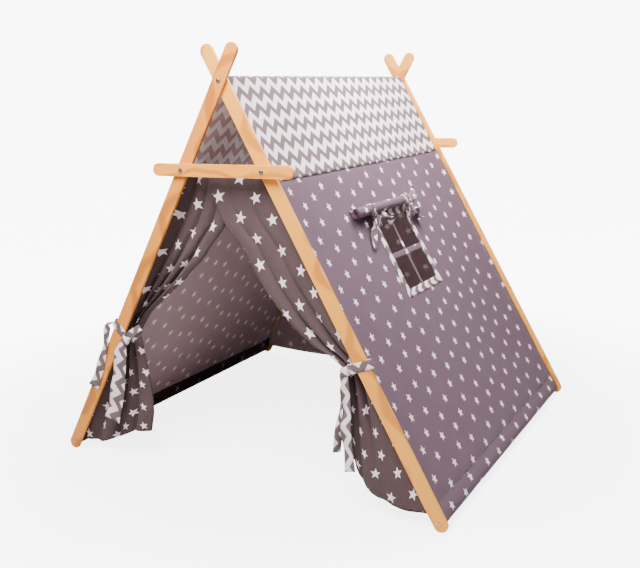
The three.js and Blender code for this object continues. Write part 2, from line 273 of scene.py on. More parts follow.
def print_group(name, build):
    """A node group from a place on the flat cut, in millimetres, to a share of white ink."""
    tree = bpy.data.node_groups.new(name, "ShaderNodeTree")
    tree.interface.new_socket("Place", in_out="INPUT", socket_type="NodeSocketVector")
    tree.interface.new_socket("Ink", in_out="OUTPUT", socket_type="NodeSocketFloat")
    graph = Graph(tree)
    source = graph.node("NodeGroupInput")
    sink = graph.node("NodeGroupOutput")
    graph.feed(sink.inputs[0], build(graph, source.outputs[0]))
    return tree


# The star print repeats on a slanting lattice of two steps, with nine stars to a repeat,
# each given as (across, down, turn in degrees).
STAR_STEPS = ((164, 148), (-145, 152))
STARS = (
    (24, 292, 6), (43, 215, -10), (-63, 106, 12), (111, 188, -4), (-25, 235, 16),
    (77, 129, -14), (4, 154, 3), (-72, 186, -8), (18, 76, 10),
)
SMALL_STAR = 14.8  # from a star's middle to its tips
LARGE_STAR = 17.5
NOTCH_SHARE = 0.435  # how far out its notches are, as a share of that


def star_ink(graph, place, tip):
    (ax, ay), (bx, by) = STAR_STEPS
    area = ax * by - ay * bx
    to_first = (by / area, -bx / area, 0)
    to_second = (-ay / area, ax / area, 0)
    nearest, distance = None, None
    for across, down, turn in STARS:
        away = graph.vector("SUBTRACT", place, (across, down, -math.radians(turn)))
        for weights, step in ((to_first, (ax, ay, 0)), (to_second, (bx, by, 0))):
            whole = graph.math("ROUND", graph.dot(away, weights))
            away = graph.vector("SUBTRACT", away, graph.scaled(step, whole))
        length = graph.vector("LENGTH", away, out="Value")
        if nearest is None:
            nearest, distance = away, length
        else:
            closer = graph.math("LESS_THAN", length, distance)
            change = graph.vector("SUBTRACT", away, nearest)
            nearest = graph.vector("MULTIPLY_ADD", change, closer, nearest)
            distance = graph.math("MINIMUM", length, distance)
    x, y, turn = graph.separate(nearest)
    compass = graph.math("ARCTAN2", x, graph.times(y, -1.0))
    angle = graph.plus(compass, turn)
    fold = math.radians(36)
    folded = graph.math("PINGPONG", graph.plus(angle, 20 * fold), fold)
    out = graph.times(distance, graph.math("COSINE", folded))
    over = graph.times(distance, graph.math("SINE", folded))
    ex = NOTCH_SHARE * tip * math.cos(fold) - tip
    ey = NOTCH_SHARE * tip * math.sin(fold)
    size = math.hypot(ex, ey)
    beyond = graph.times(graph.math("SUBTRACT", out, tip), ey / size)
    edge = graph.plus(beyond, graph.times(over, -ex / size))
    return graph.ramp(edge, -0.5, 0.5, 1.0, 0.0)


ZIGZAG_STEP = 50.0  # one white and one grey band
ZIGZAG_WAVE = 58.0
ZIGZAG_RISE = 28.0


def zigzag_ink(graph, place):
    x, y, _ = graph.separate(place)
    wave = graph.math("PINGPONG", graph.plus(x, 100 * ZIGZAG_WAVE), ZIGZAG_WAVE / 2)
    rise = graph.times(wave, ZIGZAG_RISE / (ZIGZAG_WAVE / 2))
    level = graph.plus(graph.plus(y, rise), 100 * ZIGZAG_STEP)
    band = graph.math("PINGPONG", level, ZIGZAG_STEP / 2)
    middle = ZIGZAG_STEP / 4
    return graph.ramp(band, middle - 0.6, middle + 0.6, 1.0, 0.0)


STAR_PRINT = print_group("star_print", lambda graph, place: star_ink(graph, place, SMALL_STAR))
LARGE_STAR_PRINT = print_group("large_star_print",
                               lambda graph, place: star_ink(graph, place, LARGE_STAR))
ZIGZAG_PRINT = print_group("zigzag_print", zigzag_ink)
CUT = "cut"  # the UV map that holds each point's place on the flat cut, in metres
FADING = 0.10
YARN_PITCH = 0.8  # two yarns, in millimetres


def cotton(name, group, ground, printed, shift=(0, 0)):
    """Printed plain-weave cotton: yarn relief, slubs, slight fading, and the print's own ink."""
    material, graph, shader = new_material(name)
    flat = graph.node("ShaderNodeUVMap", uv_map=CUT).outputs[0]
    place = graph.vector("ADD", graph.scaled(flat, 1000.0), (*shift, 0))
    printer = graph.node("ShaderNodeGroup", node_tree=group)
    graph.feed(printer.inputs[0], place)
    warp = graph.noise(graph.vector("MULTIPLY", place, (2.2, 0.06, 1)), 1.0, 2.0)
    weft = graph.noise(graph.vector("MULTIPLY", place, (0.06, 2.2, 1)), 1.0, 2.0)
    slub = graph.times(graph.plus(warp, weft), 0.5)
    cloudy = graph.noise(graph.scaled(place, 0.011), 1.0, 4.0)
    faded = graph.times(graph.math("SUBTRACT", cloudy, 0.5), 2 * FADING)
    ink_share = graph.times(printer.outputs[0], graph.ramp(slub, 0.25, 0.5, 0.86, 1.0))
    colour = graph.blend(ink_share, ground, printed)
    level = graph.plus(graph.plus(faded, graph.times(slub, 0.24)), 0.88)
    colour = graph.blend(1.0, colour, graph.combine(level, level, level), "MULTIPLY")
    graph.feed(shader.inputs["Base Color"], colour)
    x, y, _ = graph.separate(place)
    yarn = 2 * math.pi / YARN_PITCH
    over = graph.math("SINE", graph.times(x, yarn))
    under = graph.math("SINE", graph.times(y, yarn))
    weave = graph.plus(graph.times(over, under), graph.times(slub, 3.0))
    graph.feed(shader.inputs["Normal"], graph.bump(weave, 0.35, 0.00015))
    graph.feed(shader.inputs["Roughness"], graph.ramp(slub, 0.3, 0.7, 0.82, 0.95))
    shader.inputs["Specular IOR Level"].default_value = 0.12
    shader.inputs["Sheen Weight"].default_value = 0.04
    shader.inputs["Sheen Roughness"].default_value = 0.5
    return material


def thread(name, light, dark):
    """Matt spun thread, a little uneven in tone."""
    material, graph, shader = new_material(name)
    place = graph.node("ShaderNodeTexCoord").outputs["Object"]
    tone = graph.noise(place, 700.0, 2.0)
    graph.feed(shader.inputs["Base Color"], graph.blend(tone, light, dark))
    graph.feed(shader.inputs["Roughness"], graph.ramp(tone, 0.3, 0.7, 0.7, 0.9))
    return material


def pine(name, along, across, light, dark, seed):
    """Planed pine with its grain along one direction, given with a second direction square to it."""
    material, graph, shader = new_material(name)
    place = graph.node("ShaderNodeTexCoord").outputs["Object"]
    third = Vector(along).cross(Vector(across))
    lengthwise = graph.dot(place, tuple(along))
    u = graph.dot(place, tuple(across))
    v = graph.dot(place, tuple(third))

    bent = graph.noise(graph.combine(graph.times(lengthwise, 2.2), u, seed), 1.6, 2.0)
    ring_place = graph.plus(graph.times(u, 150.0), graph.times(v, 60.0))
    rings = graph.math("SINE", graph.plus(ring_place, graph.times(bent, 26.0)))
    stretched = graph.combine(graph.times(lengthwise, 9.0), graph.times(u, 420.0),
                              graph.times(v, 420.0))
    fibres = graph.noise(stretched, 1.0, 4.0, 0.65)
    patches = graph.noise(graph.combine(graph.times(lengthwise, 1.3), u, seed + 5.0), 3.0, 2.0)
    late_wood = graph.ramp(rings, 0.2, 1.0, 0.0, 1.0)
    tone = graph.plus(graph.times(late_wood, 0.32), graph.times(fibres, 0.42))
    tone = graph.ramp(graph.plus(tone, graph.times(patches, 0.25)), 0.22, 0.78, 0.0, 1.0)
    graph.feed(shader.inputs["Base Color"], graph.blend(tone, light, dark))
    relief = graph.plus(graph.times(fibres, 0.6), graph.times(rings, 0.2))
    graph.feed(shader.inputs["Normal"], graph.bump(relief, 0.25, 0.0003))
    graph.feed(shader.inputs["Roughness"], graph.ramp(fibres, 0.3, 0.7, 0.42, 0.58))
    shader.inputs["Specular IOR Level"].default_value = 0.4
    return material


def steel(name, colour, roughness):
    """Plated steel with a little mottling."""
    material, graph, shader = new_material(name)
    place = graph.node("ShaderNodeTexCoord").outputs["Object"]
    mottle = graph.noise(place, 900.0, 3.0)
    dark = tuple(0.55 * c for c in colour[:3]) + (1.0,)
    worn = graph.ramp(mottle, 0.35, 0.7, 0.0, 1.0)
    graph.feed(shader.inputs["Base Color"], graph.blend(worn, colour, dark))
    uneven = graph.ramp(mottle, 0.3, 0.7, roughness - 0.08, roughness + 0.12)
    graph.feed(shader.inputs["Roughness"], uneven)
    graph.feed(shader.inputs["Normal"], graph.bump(mottle, 0.1, 0.0001))
    shader.inputs["Metallic"].default_value = 1.0
    return material


WHITE_INK = (0.92, 0.76, 0.82, 1.0)
MAUVE = (0.122, 0.074, 0.102, 1.0)
WARM_GREY = (0.086, 0.056, 0.058, 1.0)
# The reverse-side colours are partly the print's paler back and partly painted light: they are
# lightened to stand in for the light that shines through the thin cotton.
REVERSE_GREY_PAINTED_GLOW = (0.410, 0.285, 0.312, 1.0)
REVERSE_INK_PAINTED_GLOW = (0.900, 0.715, 0.750, 1.0)
TAUPE = (0.150, 0.108, 0.112, 1.0)
# A near-black for the side cloths' sleeve returns inside the tent.
SLEEVE_RETURN_DARK = (0.035, 0.020, 0.024, 1.0)

SIDE = cotton("side_cotton", STAR_PRINT, MAUVE, WHITE_INK)
# The reverse faces carry painted light shining through the cloth in their colour.
SIDE_REVERSE_PAINTED_GLOW = cotton("side_cotton_reverse_painted_glow", STAR_PRINT, REVERSE_GREY_PAINTED_GLOW, REVERSE_INK_PAINTED_GLOW)
CURTAIN = cotton("curtain_cotton", LARGE_STAR_PRINT, WARM_GREY, WHITE_INK, shift=(40, 20))
CURTAIN_REVERSE_PAINTED_GLOW = cotton("curtain_cotton_reverse_painted_glow", LARGE_STAR_PRINT, REVERSE_GREY_PAINTED_GLOW, REVERSE_INK_PAINTED_GLOW,
                        shift=(40, 20))
ZIGZAG = cotton("zigzag_cotton", ZIGZAG_PRINT, TAUPE, WHITE_INK)
# The roof's reverse colours are likewise lightened as painted light shining through the cotton.
ZIGZAG_REVERSE_PAINTED_GLOW = cotton("zigzag_cotton_reverse_painted_glow", ZIGZAG_PRINT, (0.60, 0.45, 0.47, 1.0),
                       (0.96, 0.90, 0.93, 1.0))
HEM = cotton("hem_cotton", STAR_PRINT, SLEEVE_RETURN_DARK, (0.16, 0.12, 0.13, 1.0))
THREAD = thread("sewing_thread", (0.40, 0.33, 0.38, 1.0), (0.24, 0.19, 0.22, 1.0))

PALE = ((0.95, 0.40, 0.045, 1.0), (0.64, 0.22, 0.020, 1.0))
# The left leaf's deeper amber is partly the wood's own tone and partly painted shade for the light
# falling off towards the left.
AMBER_AND_SHADE = ((0.82, 0.29, 0.030, 1.0), (0.50, 0.150, 0.012, 1.0))
GOLDEN = ((0.95, 0.37, 0.035, 1.0), (0.62, 0.20, 0.015, 1.0))
SOFT = ((0.86, 0.36, 0.070, 1.0), (0.56, 0.21, 0.035, 1.0))
PINE_RIGHT = pine("pine_right_leaf", DOWN[RIGHT], ALONG_Y, *PALE, 1.0)
# painted shade: the left leaf's pine is darker than the right's, standing in for the weaker light on
# that side
PINE_LEFT = pine("pine_left_leaf", DOWN[LEFT], ALONG_Y, *AMBER_AND_SHADE, 7.0)
PINE_BAR = pine("pine_crossbar", ALONG_X, UP, *GOLDEN, 3.0)
PINE_DOWEL = pine("pine_dowel", ALONG_Y, UP, *SOFT, 5.0)
BOLT_STEEL = steel("dark_plated_steel", (0.30, 0.30, 0.32, 1.0), 0.28)
ZINC = steel("zinc_plated_steel", (0.60, 0.61, 0.63, 1.0), 0.32)


def dress_cad_nodes():
    """Gives every CAD node that stays its material."""
    for name, node in frame["nodes"].items():
        if name.endswith("_bolt"):
            material = BOLT_STEEL
        elif name.endswith(("_screw", "_insert")):
            material = ZINC
        elif name.endswith("_leg"):
            material = PINE_RIGHT if "right" in name else PINE_LEFT
        elif name.endswith("_crossbar"):
            material = PINE_BAR
        else:
            material = PINE_DOWEL
        node.data.materials.clear()
        node.data.materials.append(material)
        for polygon in node.data.polygons:
            polygon.use_smooth = False


def gather(piece):
    """Gives a hung cloth its own copy of its mesh."""
    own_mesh(piece)


# ---- Building cloth ----
def link(name, vertices, faces, cuts):
    mesh = bpy.data.meshes.new(name)
    mesh.from_pydata(vertices, [], faces)
    layer = mesh.uv_layers.new(name=CUT)
    for loop in mesh.loops:
        layer.data[loop.index].uv = cuts[loop.vertex_index]
    mesh.polygons.foreach_set("use_smooth", [True] * len(mesh.polygons))
    piece = bpy.data.objects.new(name, mesh)
    bpy.context.scene.collection.objects.link(piece)
    tidy = bmesh.new()
    tidy.from_mesh(mesh)
    loose = [v for v in tidy.verts if not v.link_faces]
    bmesh.ops.delete(tidy, geom=loose, context="VERTS")
    tidy.to_mesh(mesh)
    tidy.free()
    return piece


def cloth(name, columns, rows, point, cut, front, back, skip=None, thickness=CLOTH,
          flip=False, extra=()):
    """A sheet through point(column, row); cut gives each point's place on the flat cloth."""
    vertices = [point(c, r) for c in columns for r in rows]
    cuts = [cut(c, r) for c in columns for r in rows]
    count = len(rows)
    faces = []
    for i in range(len(columns) - 1):
        for j in range(count - 1):
            middle = ((columns[i] + columns[i + 1]) / 2, (rows[j] + rows[j + 1]) / 2)
            if skip and skip(*middle):
                continue
            corner = i * count + j
            face = (corner, corner + count, corner + count + 1, corner + 1)
            faces.append(face[::-1] if flip else face)
    piece = link(name, vertices, faces, cuts)
    for material in (front, back, *extra):
        piece.data.materials.append(material)
    solid = piece.modifiers.new("thickness", "SOLIDIFY")
    solid.thickness = thickness
    solid.offset = 0
    solid.material_offset = 1
    return piece


# ---- Side cloths and roof ----
def sag(s):
    return CLOTH_RADIUS - 4 * PANEL_SAG * s * (RAIL_S - s) / RAIL_S ** 2


def hold(s, y):
    """How far the legs hold the cloth's front and back edges out of its sag."""
    return HOLD_SHARE * (CLOTH_RADIUS - sag(s)) * math.exp(-(PANEL_HALF_Y - abs(y)) / HOLD_REACH)


def panel_relief(side, s, y):
    """How far the cloth stands off its even sag: soft swags, puckered seams and a slack edge."""
    seed = 3.0 if side > 0 else 11.0
    middle = ease(s / 0.12) * ease((RAIL_S - s) / 0.10)
    swags = 3.4 * MM * wrinkle(s, y * 0.45, seed, 0.34)
    swags += 1.7 * MM * wrinkle(s * 0.5, y, seed + 1, 0.11)
    near_seam = math.exp(-(((s - SEAM_S) / (26 * MM)) ** 2))
    near_hem = math.exp(-(((s - HEM_S) / (16 * MM)) ** 2))
    pucker = 0.9 * MM * wrinkle(0, y, seed + 2, 0.016) * (near_seam + near_hem)
    crease = -1.6 * MM * math.exp(-(((s - SEAM_S) / (5 * MM)) ** 2))
    crease -= 3.0 * MM * math.exp(-(((s - HEM_S) / (8 * MM)) ** 2))
    edge = PANEL_HALF_Y - abs(y)
    curl = 2.5 * MM * wrinkle(s, 0, seed + 4, 0.16) * math.exp(-edge / (40 * MM))
    return hold(s, y) + middle * (swags + curl) + pucker + crease


def side_point(side, s, y):
    """The middle of the side cloth, its sleeve round the rail included."""
    if s <= HEM_S:
        return on_leaf(side, s, sag(s) + panel_relief(side, s, y), y)
    if s <= RAIL_S:
        t = (s - HEM_S) / (RAIL_S - HEM_S)
        start = sag(HEM_S) + panel_relief(side, HEM_S, y)
        pinch = 1.6 * MM * math.sin(math.pi * min(t * 1.6, 1.0))
        n = mix(start, CLOTH_RADIUS, ease(t * 1.35)) + pinch
        return on_leaf(side, s, n, y)
    angle = (s - RAIL_S) / CLOTH_RADIUS
    if angle <= SLEEVE_TURN:
        bump = 0.6 * MM * wrinkle(angle, y, 5.0 + side, 0.05)
        radius = CLOTH_RADIUS + bump
        return on_leaf(side, RAIL_S + radius * math.sin(angle), radius * math.cos(angle), y)
    left_over = s - RAIL_S - SLEEVE_TURN * CLOTH_RADIUS
    start_s = RAIL_S + CLOTH_RADIUS * math.sin(SLEEVE_TURN)
    start_n = CLOTH_RADIUS * math.cos(SLEEVE_TURN)
    t = left_over / SLEEVE_RETURN
    end_n = sag(HEM_S) - 2.2 * MM
    return on_leaf(side, start_s - left_over, mix(start_n, end_n, ease(t)), y)


def in_window(y, s):
    return WINDOW_Y[0] < y < WINDOW_Y[1] and WINDOW_S[0] < s < WINDOW_S[1]


def face_rows(columns, rows, skip):
    """The row value at the middle of each face of a cloth, in the order of its faces."""
    for y0, y1 in zip(columns, columns[1:]):
        for s0, s1 in zip(rows, rows[1:]):
            if not (skip and skip((y0 + y1) / 2, (s0 + s1) / 2)):
                yield (s0 + s1) / 2


def side_cloth(side):
    """A side cloth, from the roof's seam to the end of its sleeve; the right one has the window."""
    start = SEAM_S - 10 * MM
    marks = [start, HEM_S - 12 * MM, HEM_S + 12 * MM, RAIL_S, SLEEVE_END]
    column_marks = [-PANEL_HALF_Y, PANEL_HALF_Y]
    skip, opening = None, 0
    if side == RIGHT:
        marks[1:1] = WINDOW_S
        column_marks[1:1] = WINDOW_Y
        skip = in_window
        opening = (WINDOW_Y[1] - WINDOW_Y[0]) * (WINDOW_S[1] - WINDOW_S[0])
    rows = stations(marks, SIDE_STEP)
    columns = stations(column_marks, SIDE_STEP)

    def point(y, s):
        under = 1.6 * MM * (1 - ease((s - start) / (14 * MM)))
        return side_point(side, s, y) - OUT[side] * under

    piece = cloth(f"{WORD[side]}_side_cloth", columns, rows, point, lambda y, s: (side * y, s),
                  SIDE, SIDE_REVERSE_PAINTED_GLOW, skip=skip, flip=side == RIGHT, extra=(HEM, HEM))
    for polygon, s in zip(piece.data.polygons, face_rows(columns, rows, skip)):
        # The sleeve's return inside the tent gets the near-black hem material.
        polygon.material_index = 2 if s > SLEEVE_END - SLEEVE_RETURN - 16 * MM else 0
    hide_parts(f"{WORD[side]}_side_panel")
    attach(piece, LEAF[side])


def roof_cloth():
    """One cloth over the ridge pole, down to the seam on each side."""
    half_arc = (math.pi / 2 - LEAF_ANGLE) * CLOTH_RADIUS
    end = SEAM_S + 2 * MM + half_arc

    def point(y, t):
        side = RIGHT if t >= 0 else LEFT
        beyond = abs(t) - half_arc
        if beyond <= 0:
            angle = math.pi / 2 - abs(t) / CLOTH_RADIUS
            radius = CLOTH_RADIUS + 0.4 * MM * wrinkle(0, y, 2.0, 0.03)
            return Vector((side * radius * math.cos(angle), y, RIDGE_Z + radius * math.sin(angle)))
        lift = 0.9 * MM * ease((beyond - SEAM_S + 30 * MM) / (30 * MM))
        hem = 1.6 * MM * math.exp(-(((beyond - SEAM_S) / (5 * MM)) ** 2))
        return on_leaf(side, beyond, sag(beyond) + panel_relief(side, beyond, y) + lift + hem, y)

    rows = stations([-end, -half_arc, half_arc, end], 9 * MM)
    columns = stations([-PANEL_HALF_Y, PANEL_HALF_Y], SIDE_STEP)
    piece = cloth("roof_cloth", columns, rows, point, lambda y, t: (y, t), ZIGZAG, ZIGZAG_REVERSE_PAINTED_GLOW,
                  flip=True)
    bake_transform(piece)


def inner_x(z):
    """How far from the middle the inside of a side cloth is at height z."""
    s = (RIDGE_Z - z) / COS
    for _ in range(3):
        s = (RIDGE_Z - z + sag(s) * SIN) / COS
    panel = on_leaf(RIGHT, s, sag(s), 0).x
    sleeve = RAIL_X - CLOTH_RADIUS
    return min(panel, sleeve) - 2 * MM


def back_cloth():
    """The back wall, hung between the side cloths with a little slack at its foot."""
    top = RIDGE_Z - 30 * MM
    bottom = 36 * MM

    def point(u, z):
        down = (top - z) / (top - bottom)
        foot = z + down ** 8 * (6 * MM * math.cos(5 * u) - 2 * MM)
        reach = inner_x(max(foot, 20 * MM))
        folds = (1 - u * u) * down * (5 * MM * math.cos(7 * u + 1) + 4 * MM * wrinkle(u, z, 21.0, 0.3))
        return Vector((u * reach, BACK_Y + folds, foot))

    rows = stations([top, bottom], 13 * MM)
    columns = stations([-1, 1], 0.022)
    piece = cloth("back_wall_cloth", columns, rows, point, lambda u, z: (-u * inner_x(z), z),
                  SIDE, SIDE_REVERSE_PAINTED_GLOW)
    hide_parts("back_panel")
    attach(piece, "right_leaf")
    gather(piece)


# ---- Door curtains ----
def curtain(side, edge_top, edge_low, hem, y_base, tie_share, folds, high_fold, low_fold, cut, seed):
    """A door curtain sewn down the leg and tied back to it.

    edge_top runs down the free edge to the tie and edge_low on to the foot, as (x, z), and hem
    along the foot from the leg to the free edge, as (x, y, z), in millimetres. tie_share is how
    far down the cloth the tie is. folds has the (place across, depth in millimetres, width) of
    the folds that run into the tie, with high_fold and low_fold their shares at the top and the
    foot. cut is the width of the flat cloth at its top and foot.
    """
    free_top = smooth_line([(x * MM, 0, z * MM) for x, z in edge_top])
    free_low = smooth_line([(x * MM, 0, z * MM) for x, z in edge_low])
    foot = smooth_line([Vector(p) * MM for p in hem])

    def seam(z):
        s = (RIDGE_Z - z) / COS
        n = sag(s) + hold(s, PANEL_HALF_Y)
        return on_leaf(side, s + n * SIN / COS, n - 2.5 * MM, 0)

    def ground(a, w):
        """The curtain without its folds: a from the seam to the free edge, w from top to foot."""
        if w <= tie_share:
            t = w / tie_share
            return seam(mix(CURTAIN_TOP, TIE_Z, t)).lerp(free_top(t), a)
        t = (w - tie_share) / (1 - tie_share)
        held = seam(TIE_Z).lerp(free_top(1.0), a)
        low = foot(a)
        straight = held.lerp(Vector((low.x, 0, low.z)), t)
        corner = foot(1.0)
        bulge = free_low(t) - free_low(0.0).lerp(Vector((corner.x, 0, corner.z)), t)
        return straight + bulge * a ** 2

    def relief(a, w):
        if w <= tie_share:
            reach = ease(w / tie_share)
            amount = high_fold + (1 - high_fold) * reach ** 3
        else:
            reach = ease((w - tie_share) / (1 - tie_share) * 1.6)
            amount = mix(1.0, low_fold, reach)
        depth = sum(d * MM * math.exp(-(((a - place) / width) ** 2)) for place, d, width in folds)
        ripples = 2.2 * MM * wrinkle(a * 0.5, w, seed, 0.09)
        return depth * amount + ripples + 1.1 * MM * wrinkle(a, w, seed + 2, 0.05)

    def foot_depth(a, w):
        t = max(0.0, (w - tie_share) / (1 - tie_share))
        return (foot(a).y - y_base) * ease(t)

    def point(a, w):
        flat_part = min(a / ROLL_START, 1.0)
        place = ground(flat_part, w)
        turned = max(0.0, (a - ROLL_START) / (1 - ROLL_START)) * 3.3
        inward = EDGE_ROLL * ease(flat_part / 0.4)
        x = place.x + side * (inward - EDGE_ROLL * math.sin(turned))
        y = y_base + foot_depth(flat_part, w) - relief(flat_part, w)
        y += EDGE_ROLL * (1 - math.cos(turned))
        y = mix(-PANEL_HALF_Y + 4 * MM, y, ease(flat_part / 0.12))
        s = (RIDGE_Z - place.z) / COS
        slack = (hold(s, PANEL_HALF_Y) - hold(s, y)) * (1 - flat_part)  # the side cloth's own sag
        return Vector((x - side * slack, y, place.z))

    cut_top, cut_foot = cut

    def flat(a, w):
        return (side * (mix(0.13, 0.62, w) - a * mix(cut_top, cut_foot, w)), w * CURTAIN_LENGTH)

    columns = stations([0, ROLL_START, 1], 0.0105)
    rows = stations([0, tie_share, 1], 0.0095)
    piece = cloth(f"{WORD[side]}_curtain_cloth", columns, rows, point, flat, CURTAIN,
                  CURTAIN_REVERSE_PAINTED_GLOW, flip=side == LEFT)
    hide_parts(f"{WORD[side]}_curtain")
    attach(piece, LEAF[side])
    gather(piece)


def curtains():
    edge_top = [(-82, 912), (-52, 821), (-22, 760), (30, 706), (85, 612),
                (125, 560), (182, 500), (245, 449), (300, 424), (340, 397)]
    edge_low = [(340, 397), (350, 340), (360, 258), (362, 201), (366, 143)]
    hem = [(606, -590, 40), (580, -592, 36), (524, -594, 34),
           (467, -594, 45), (417, -590, 64), (384, -586, 100),
           (366, -582, 143)]
    folds = [(0.14, -20, 0.07), (0.36, 9, 0.09), (0.52, -24, 0.045),
             (0.66, 8, 0.07), (0.80, -22, 0.040), (0.93, 10, 0.07)]
    curtain(RIGHT, edge_top, edge_low, hem, -0.577, 0.60, folds, 0.16, 0.22, (0.20, 0.34), 31.0)
    edge_top = [(-10, 912), (-18, 820), (-40, 760), (-65, 727), (-91, 696),
                (-122, 656), (-160, 621), (-199, 583), (-238, 551), (-278, 516),
                (-319, 481), (-350, 440), (-372, 404)]
    edge_low = [(-372, 404), (-362, 354), (-348, 275), (-341, 210), (-338, 150),
                (-352, 87)]
    hem = [(-606, -586, 34), (-585, -580, 24), (-538, -575, 24),
           (-481, -570, 44), (-430, -572, 68), (-395, -566, 82),
           (-352, -560, 87)]
    folds = [(0.16, -22, 0.07), (0.34, 10, 0.08), (0.50, -26, 0.045),
             (0.64, 12, 0.07), (0.78, -28, 0.040), (0.92, 14, 0.08)]
    curtain(LEFT, edge_top, edge_low, hem, -0.560, 0.58, folds, 0.32, 0.55, (0.18, 0.37), 47.0)


# ---- Ribbons ----
GREY_MIDDLE = 11 * MM  # a shift across a ribbon that puts a grey band on its middle
WHITE_MIDDLE = -14 * MM  # and one that puts a white band there


def ribbon(name, spine, sides, body, curl=0.0, shift=(0.0, 0.0), step=6 * MM, narrow=1.0):
    """A strip of zigzag cotton along a spine, with its length and width.

    sides gives half its width, as a vector, at each point. narrow is how much more cloth is
    pleated across it than shows.
    """
    path = smooth_line(spine)
    half = [Vector(s) for s in sides]
    marks = marks_along(spine)

    def side_at(t):
        i, share = between(marks, t * marks[-1])
        return half[i].lerp(half[i + 1], ease(share))

    def point(c, t):
        across = side_at(t)
        ahead = (path(min(t + 0.01, 1.0)) - path(max(t - 0.01, 0.0))).normalized()
        square = (across - ahead * across.dot(ahead)).normalized() * across.length
        normal = square.cross(ahead).normalized()
        return path(t) + square * c + normal * curl * (1 - c * c)

    rows = stations([0.0, 1.0], step / path.length)
    cols = [-1 + i / 3 for i in range(7)]
    width = sum(v.length for v in half) / len(half)

    def flat(c, t):
        return (t * path.length + shift[0], c * width * narrow + shift[1])

    piece = cloth(name, cols, rows, point, flat, ZIGZAG, ZIGZAG, thickness=0.8 * MM)
    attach(piece, body)
    return piece, path.length, 2 * width


def tie_loop(side, s_inner, s_outer, puff):
    """A ribbon round a front leg and the gathered curtain, from the knot and back to it."""
    low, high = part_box(f"front_{WORD[side]}_leg")
    front = low.y - 1.1 * MM
    back = high.y + 1.0 * MM
    around = [(-44, front + 5 * MM), (-30, front - 1 * MM), (-18, front), (0, front), (18, front),
              (puff, front + 4 * MM), (puff - 4, back - 2 * MM), (18, back), (0, back), (-18, back),
              (-32, back + 7 * MM), (-42, back + 3 * MM), (-42, front + 8 * MM)]
    spine, sides = [], []
    for n, y in around:
        share = (n + 44) / (puff + 44)
        spine.append(on_leaf(side, mix(s_inner, s_outer, share), n * MM, y))
        sides.append(DOWN[side] * (13 * MM))
    return ribbon(f"{WORD[side]}_tie_loop", spine, sides, LEAF[side], curl=1.0 * MM,
                  shift=(0.02, 0.012))


def knot(name, centre, along, around, radius, width, body):
    """A short band of ribbon pulled tight, bulging between its edges."""
    along = Vector(along).normalized()
    u = Vector(around).normalized()
    v = along.cross(u)
    steps = 18
    spine = []
    for i in range(steps + 1):
        angle = 2 * math.pi * i / steps + 0.4
        reach = radius * (1 + 0.12 * math.sin(3 * angle))
        spine.append(Vector(centre) + (u * math.cos(angle) + v * math.sin(angle) * 0.8) * reach)
    sides = [along * (width / 2) for _ in spine]
    return ribbon(name, spine, sides, body, curl=-2.2 * MM, step=3 * MM)


def declare_ribbon(made, node):
    """Hides the CAD node that a finished ribbon stands for."""
    piece, length, width = made
    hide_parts(node)
    max(width, 0.01)


def declare_tie(made, side, squash_from=None):
    """Hides the curtain's tie node for a part of the tie; when squash_from is given, the part gets its
    own copy of its mesh.
    """
    if squash_from is not None:
        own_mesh(made[0])
    declare_ribbon(made, f"{WORD[side]}_curtain_tie")


TIE_CLEAR = -24 * MM  # a depth inside the leaf, given to the ties as squash_from


def tail(name, side, points, sides, curl, shift, narrow=1.0, squash_from=TIE_CLEAR):
    """A loose end or a loop of a curtain's tie.

    points are (x, y from the leg's face, z), and sides its half widths, in millimetres.
    """
    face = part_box(f"front_{WORD[side]}_leg")[0].y
    spine = [Vector((x * MM, face + y * MM, z * MM)) for x, y, z in points]
    half = [Vector(v) * MM for v in sides]
    made = ribbon(f"{WORD[side]}_tie_{name}", spine, half, LEAF[side], curl * MM, shift,
                  narrow=narrow)
    declare_tie(made, side, squash_from)


